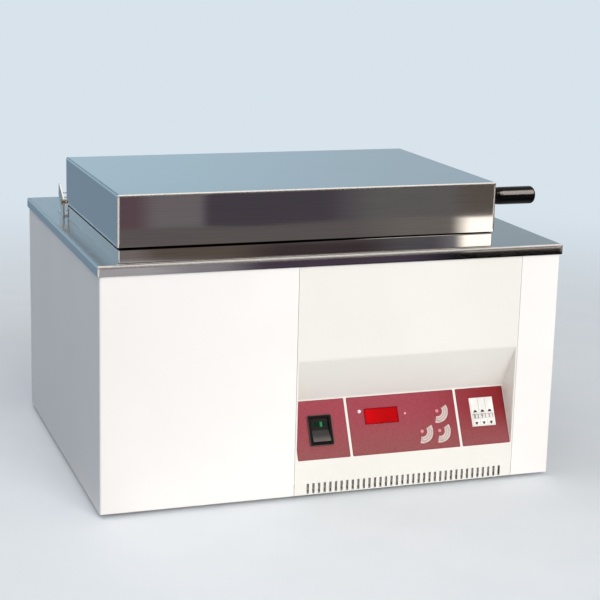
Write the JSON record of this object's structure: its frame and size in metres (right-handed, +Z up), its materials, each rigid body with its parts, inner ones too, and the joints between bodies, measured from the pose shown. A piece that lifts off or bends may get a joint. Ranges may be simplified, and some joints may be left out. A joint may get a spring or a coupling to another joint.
{
  "type": "laboratory water bath",
  "caption": "Bench-top water bath: painted sheet housing with a slanted control panel in a front recess, stainless deck and raised collar, heated tank, and a flat hinged lid with a side grip.",
  "frame": {"origin": "on the bench, under the middle of the cover deck", "axes": "+Z up, -Y towards the operator (control panel), +X to the operator's right (the lid's grip)"},
  "size_m": [0.64, 0.506, 0.4167],
  "materials": {
    "stainless": "satin",
    "casing_paint": "powder coat, satin",
    "zinc_steel": "zinc plated",
    "foot_rubber": "matte",
    "insulation_wool": "matte",
    "foil_maroon": "satin print",
    "black_plastic": "gloss",
    "grip_black": "polished",
    "lens_green": "gloss",
    "window_red": "gloss",
    "lamp_clear": "gloss",
    "lamp_pink": "gloss",
    "pushwheel_white": "satin",
    "board_green": "solder mask",
    "transformer_iron": "varnished",
    "sink_aluminium": "extruded",
    "drain_brass": "turned"
  },
  "bodies": {
    "housing": {"deck": "stainless", "tank": "stainless", "perforated_tray": "stainless", "hinge_brackets": "stainless", "hinge_pins": "stainless", "bracket_screws": "stainless", "heater": "stainless", "heater_glands": "stainless", "temperature_probe": "stainless", "limit_probe": "stainless", "probe_glands": "stainless", "left_casing": "casing_paint", "right_casing": "casing_paint", "control_fascia": "casing_paint", "rear_panel": "casing_paint", "base_pan": "zinc_steel", "casing_screws": "zinc_steel", "seam_screws": "zinc_steel", "foot_screws": "zinc_steel", "board_screws": "zinc_steel", "deck_nuts": "zinc_steel", "pushwheel_axle": "zinc_steel", "feet": "foot_rubber", "insulation": "insulation_wool", "switch_foil": "foil_maroon", "display_foil": "foil_maroon", "limit_foil": "foil_maroon", "switch_frame": "black_plastic", "mains_inlet": "black_plastic", "display_module": "black_plastic", "display_window": "window_red", "heating_lamp": "lamp_clear", "limit_lamp": "lamp_pink", "pushwheel_frame": "pushwheel_white", "controller_board": "board_green", "transformer": "transformer_iron", "heat_sink": "sink_aluminium", "drain_pipe": "drain_brass", "drain_locknut": "drain_brass", "drain_plug": "drain_brass"},
    "lid": {"lid_shell": "stainless", "lid_grip": "grip_black", "grip_stud": "zinc_steel", "grip_nut": "zinc_steel", "hinge_leaves": "stainless", "hinge_rivets": "stainless"},
    "rocker": {"power_rocker": "black_plastic", "rocker_lens": "lens_green"},
    "key_1": {"key_1": "foil_maroon"},
    "key_2": {"key_2": "foil_maroon"},
    "key_3": {"key_3": "foil_maroon"},
    "digit_wheel_1": {"digit_wheel_1": "pushwheel_white"},
    "plus_button_1": {"plus_button_1": "pushwheel_white"},
    "minus_button_1": {"minus_button_1": "pushwheel_white"},
    "digit_wheel_2": {"digit_wheel_2": "pushwheel_white"},
    "plus_button_2": {"plus_button_2": "pushwheel_white"},
    "minus_button_2": {"minus_button_2": "pushwheel_white"},
    "digit_wheel_3": {"digit_wheel_3": "pushwheel_white"},
    "plus_button_3": {"plus_button_3": "pushwheel_white"},
    "minus_button_3": {"minus_button_3": "pushwheel_white"}
  },
  "joints": [
    {"name": "lid_hinge", "type": "hinge", "parent": "housing", "child": "lid", "pos_m": [-0.0375, 0.0935, 0.35], "axis": [-1, 0, 0], "range_deg": [0, 100]},
    {"name": "rocker_tilt", "type": "hinge", "parent": "housing", "child": "rocker", "pos_m": [-0.0153, -0.23093, 0.08714], "axis": [1, 0, 0], "range_deg": [0, 16]},
    {"name": "key_1_press", "type": "slide", "parent": "housing", "child": "key_1", "axis": [0, 0.8964, -0.4433], "range_m": [0, 0.0005], "stiffness_N_per_m": 800, "springref_m": -0.0004},
    {"name": "key_2_press", "type": "slide", "parent": "housing", "child": "key_2", "axis": [0, 0.8964, -0.4433], "range_m": [0, 0.0005], "stiffness_N_per_m": 800, "springref_m": -0.0004},
    {"name": "key_3_press", "type": "slide", "parent": "housing", "child": "key_3", "axis": [0, 0.8964, -0.4433], "range_m": [0, 0.0005], "stiffness_N_per_m": 800, "springref_m": -0.0004},
    {"name": "digit_wheel_1_turn", "type": "hinge", "parent": "housing", "child": "digit_wheel_1", "pos_m": [0.2118, -0.22542, 0.08542], "axis": [1, 0, 0], "continuous": true},
    {"name": "plus_button_1_press", "type": "slide", "parent": "housing", "child": "plus_button_1", "axis": [0, 0.8964, -0.4433], "range_m": [0, 0.0012], "stiffness_N_per_m": 500, "springref_m": -0.0006},
    {"name": "minus_button_1_press", "type": "slide", "parent": "housing", "child": "minus_button_1", "axis": [0, 0.8964, -0.4433], "range_m": [0, 0.0012], "stiffness_N_per_m": 500, "springref_m": -0.0006},
    {"name": "digit_wheel_2_turn", "type": "hinge", "parent": "housing", "child": "digit_wheel_2", "pos_m": [0.2227, -0.22542, 0.08542], "axis": [1, 0, 0], "continuous": true},
    {"name": "plus_button_2_press", "type": "slide", "parent": "housing", "child": "plus_button_2", "axis": [0, 0.8964, -0.4433], "range_m": [0, 0.0012], "stiffness_N_per_m": 500, "springref_m": -0.0006},
    {"name": "minus_button_2_press", "type": "slide", "parent": "housing", "child": "minus_button_2", "axis": [0, 0.8964, -0.4433], "range_m": [0, 0.0012], "stiffness_N_per_m": 500, "springref_m": -0.0006},
    {"name": "digit_wheel_3_turn", "type": "hinge", "parent": "housing", "child": "digit_wheel_3", "pos_m": [0.2336, -0.22542, 0.08542], "axis": [1, 0, 0], "continuous": true},
    {"name": "plus_button_3_press", "type": "slide", "parent": "housing", "child": "plus_button_3", "axis": [0, 0.8964, -0.4433], "range_m": [0, 0.0012], "stiffness_N_per_m": 500, "springref_m": -0.0006},
    {"name": "minus_button_3_press", "type": "slide", "parent": "housing", "child": "minus_button_3", "axis": [0, 0.8964, -0.4433], "range_m": [0, 0.0012], "stiffness_N_per_m": 500, "springref_m": -0.0006}
  ]
}
